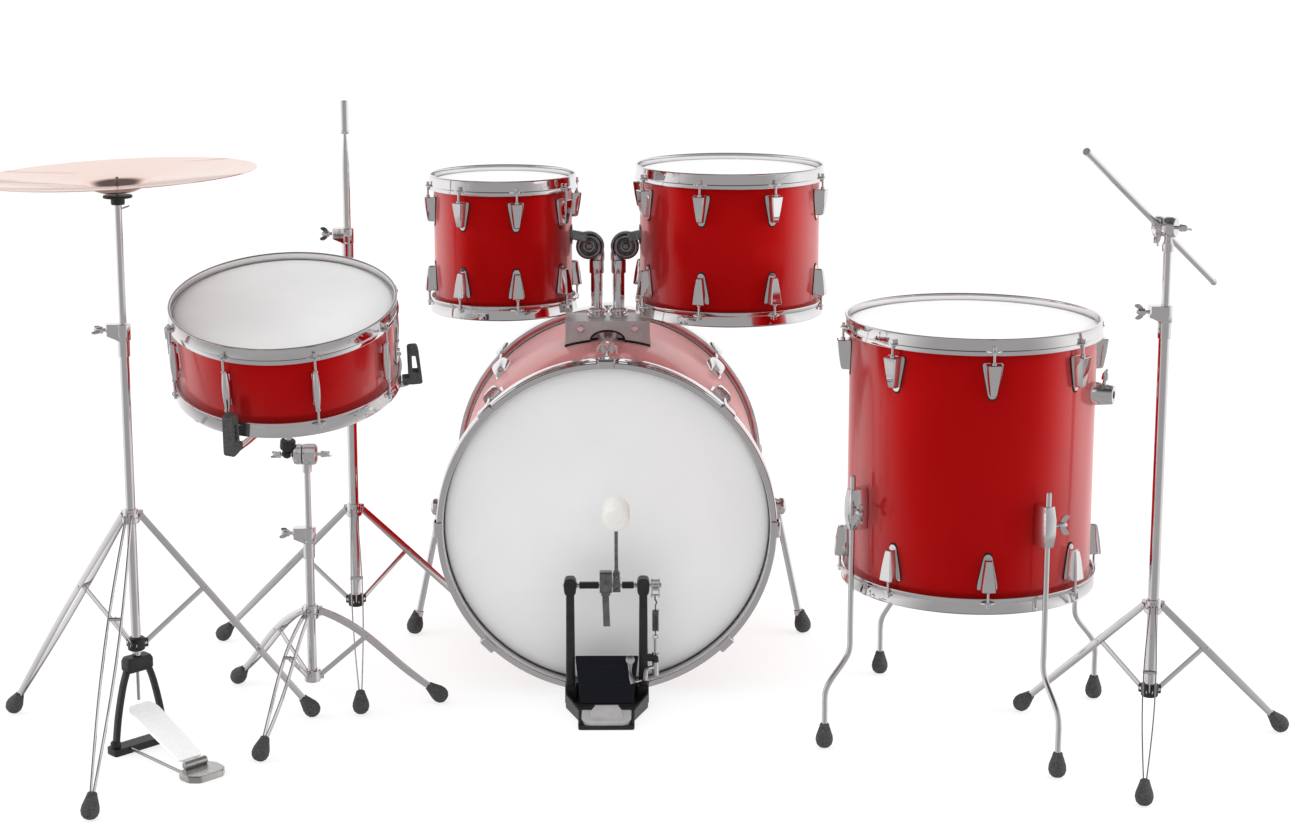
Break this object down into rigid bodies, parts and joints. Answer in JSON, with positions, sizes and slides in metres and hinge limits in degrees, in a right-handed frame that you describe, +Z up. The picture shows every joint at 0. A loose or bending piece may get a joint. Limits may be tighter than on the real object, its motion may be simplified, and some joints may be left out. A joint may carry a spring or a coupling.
{
  "type": "acoustic drum kit",
  "caption": "Acoustic drum kit: pedal-played bass drum, rack toms, floor tom and snare drum in red lacquer, with hi-hat stand, straight stand and boom stand.",
  "frame": {"origin": "bottom centre of the whole kit's bounding box, on the floor", "axes": "+X to the player's right along the kit's width, +Y from the player to the audience, +Z up"},
  "size_m": [2.1849, 1.1162, 1.032],
  "materials": {
    "lacquer": "deep red gloss lacquer wrap",
    "chrome": "polished chrome",
    "head": "white coated film",
    "black": "black painted casting",
    "copper": "rose bronze, lathed",
    "steel": "plated steel",
    "navy": "blue-black paint",
    "felt": "white felt"
  },
  "bodies": {
    "kit": {"bass_shell": "lacquer", "bass_batter_head": "head", "bass_front_head": "head", "bass_batter_hoop": "chrome", "bass_front_hoop": "chrome", "tom_holder_base": "chrome", "pedal_frame": "black", "pedal_heel_plate": "steel", "pedal_spring": "steel", "floor_tom_shell": "lacquer", "floor_tom_top_head": "head", "floor_tom_bottom_head": "head", "floor_tom_top_hoop": "chrome", "floor_tom_bottom_hoop": "chrome", "snare_tripod": "chrome", "hihat_tripod": "chrome", "hihat_frame": "black", "hihat_heel_plate": "steel", "rear_tripod": "chrome", "boom_tripod": "chrome"},
    "spur_left": {"bass_spur_left": "chrome"},
    "spur_right": {"bass_spur_right": "chrome"},
    "left_tom_post": {"tom_post_left": "chrome"},
    "right_tom_post": {"tom_post_right": "chrome"},
    "small_tom": {"small_tom_shell": "lacquer", "small_tom_top_head": "head", "small_tom_bottom_head": "head", "small_tom_top_hoop": "chrome", "small_tom_bottom_hoop": "chrome", "small_tom_arm": "chrome"},
    "large_tom": {"large_tom_shell": "lacquer", "large_tom_top_head": "head", "large_tom_bottom_head": "head", "large_tom_top_hoop": "chrome", "large_tom_bottom_hoop": "chrome", "large_tom_arm": "chrome"},
    "bass_pedal_board": {"pedal_footboard": "navy"},
    "bass_pedal_shaft": {"pedal_axle": "steel", "pedal_beater": "felt"},
    "floor_leg_one": {"floor_leg_1": "chrome"},
    "floor_leg_two": {"floor_leg_2": "chrome"},
    "floor_leg_three": {"floor_leg_3": "chrome"},
    "floor_leg_four": {"floor_leg_4": "chrome"},
    "snare_post": {"snare_upper_tube": "chrome"},
    "snare_drum": {"snare_basket": "chrome", "snare_shell": "lacquer", "snare_top_head": "head", "snare_bottom_head": "head", "snare_top_hoop": "chrome", "snare_bottom_hoop": "chrome", "snare_wires": "steel"},
    "snare_lever": {"snare_strainer_lever": "chrome"},
    "hihat_post": {"hihat_upper_tube": "chrome"},
    "hihat_rod": {"hihat_pull_rod": "steel"},
    "hihat_board": {"hihat_footboard": "steel"},
    "hihat_plate": {"hihat_cymbal": "copper"},
    "rear_post": {"rear_upper_tube": "chrome"},
    "boom_post": {"boom_upper_tube": "chrome"},
    "boom_hub": {"boom_tilter": "chrome"},
    "boom_bar": {"boom_arm": "chrome"}
  },
  "joints": [
    {"name": "spur_left_fold", "type": "hinge", "parent": "kit", "child": "spur_left", "pos_m": [-0.3755, 0.3351, 0.25], "axis": [1, 0, 0], "range_deg": [0, 90]},
    {"name": "spur_right_fold", "type": "hinge", "parent": "kit", "child": "spur_right", "pos_m": [0.2605, 0.3351, 0.25], "axis": [1, 0, 0], "range_deg": [0, 90]},
    {"name": "left_post_height", "type": "slide", "parent": "kit", "child": "left_tom_post", "axis": [0, 0, 1], "range_m": [0, 0.05]},
    {"name": "right_post_height", "type": "slide", "parent": "kit", "child": "right_tom_post", "axis": [0, 0, 1], "range_m": [0, 0.05]},
    {"name": "small_tom_tilt", "type": "hinge", "parent": "left_tom_post", "child": "small_tom", "pos_m": [-0.0916, 0.2981, 0.755], "axis": [0, 1, 0], "range_deg": [-4, 12]},
    {"name": "large_tom_tilt", "type": "hinge", "parent": "right_tom_post", "child": "large_tom", "pos_m": [-0.0234, 0.2981, 0.755], "axis": [0, -1, 0], "range_deg": [-4, 12]},
    {"name": "bass_pedal_press", "type": "hinge", "parent": "kit", "child": "bass_pedal_board", "pos_m": [-0.0575, -0.1189, 0.0165], "axis": [-1, 0, 0], "range_deg": [0, 10], "stiffness_Nm_per_rad": 4, "springref_deg": -5.73},
    {"name": "bass_beater_swing", "type": "hinge", "parent": "kit", "child": "bass_pedal_shaft", "pos_m": [-0.0575, -0.0469, 0.214], "axis": [-1, 0, 0], "range_deg": [-1, 36], "deforming": ["pedal_spring"]},
    {"name": "floor_leg_1_height", "type": "slide", "parent": "kit", "child": "floor_leg_one", "axis": [0, 0, 1], "range_m": [0, 0.12]},
    {"name": "floor_leg_2_height", "type": "slide", "parent": "kit", "child": "floor_leg_two", "axis": [0, 0, 1], "range_m": [0, 0.12]},
    {"name": "floor_leg_3_height", "type": "slide", "parent": "kit", "child": "floor_leg_three", "axis": [0, 0, 1], "range_m": [0, 0.12]},
    {"name": "floor_leg_4_height", "type": "slide", "parent": "kit", "child": "floor_leg_four", "axis": [0, 0, 1], "range_m": [0, 0.12]},
    {"name": "snare_height", "type": "slide", "parent": "kit", "child": "snare_post", "axis": [0, 0, 1], "range_m": [-0.06, 0.1]},
    {"name": "snare_tilt", "type": "hinge", "parent": "snare_post", "child": "snare_drum", "pos_m": [-0.5625, -0.0969, 0.461], "axis": [1, 0, 0], "range_deg": [-15, 8]},
    {"name": "snare_strainer_throw", "type": "hinge", "parent": "snare_drum", "child": "snare_lever", "pos_m": [-0.777, -0.14209, 0.64665], "axis": [0, -0.9636, -0.2672], "range_deg": [0, 70]},
    {"name": "hihat_height", "type": "slide", "parent": "kit", "child": "hihat_post", "axis": [0, 0, 1], "range_m": [-0.06, 0.1]},
    {"name": "hihat_cymbal_spin", "type": "hinge", "parent": "hihat_post", "child": "hihat_plate", "pos_m": [-0.8283, -0.2459, 0.955], "axis": [-0.0349, 0, 0.9994], "continuous": true},
    {"name": "hihat_pedal_press", "type": "hinge", "parent": "kit", "child": "hihat_board", "pos_m": [-0.71658, -0.35762, 0.0165], "axis": [-0.7071, -0.7071, 0], "range_deg": [0, 8], "stiffness_Nm_per_rad": 6, "springref_deg": -8.59},
    {"name": "hihat_rod_pull", "type": "slide", "parent": "kit", "child": "hihat_rod", "axis": [0, 0, 1], "range_m": [-0.026, 0.001]},
    {"name": "rear_post_height", "type": "slide", "parent": "kit", "child": "rear_post", "axis": [0, 0, 1], "range_m": [-0.16, 0.12]},
    {"name": "boom_post_height", "type": "slide", "parent": "kit", "child": "boom_post", "axis": [0, 0, 1], "range_m": [-0.08, 0.12]},
    {"name": "boom_tilt", "type": "hinge", "parent": "boom_post", "child": "boom_hub", "pos_m": [0.8391, -0.2633, 0.87], "axis": [0.8499, -0.5269, 0], "range_deg": [-50, 40]},
    {"name": "boom_arm_slide", "type": "slide", "parent": "boom_hub", "child": "boom_bar", "axis": [-0.4814, -0.7764, 0.4067], "range_m": [-0.1, 0.1]}
  ],
  "couplings": [
    {"joint": "bass_beater_swing", "follows": "bass_pedal_press", "ratio": 3.35},
    {"joint": "hihat_rod_pull", "follows": "hihat_pedal_press", "m_per_rad": -0.16}
  ]
}
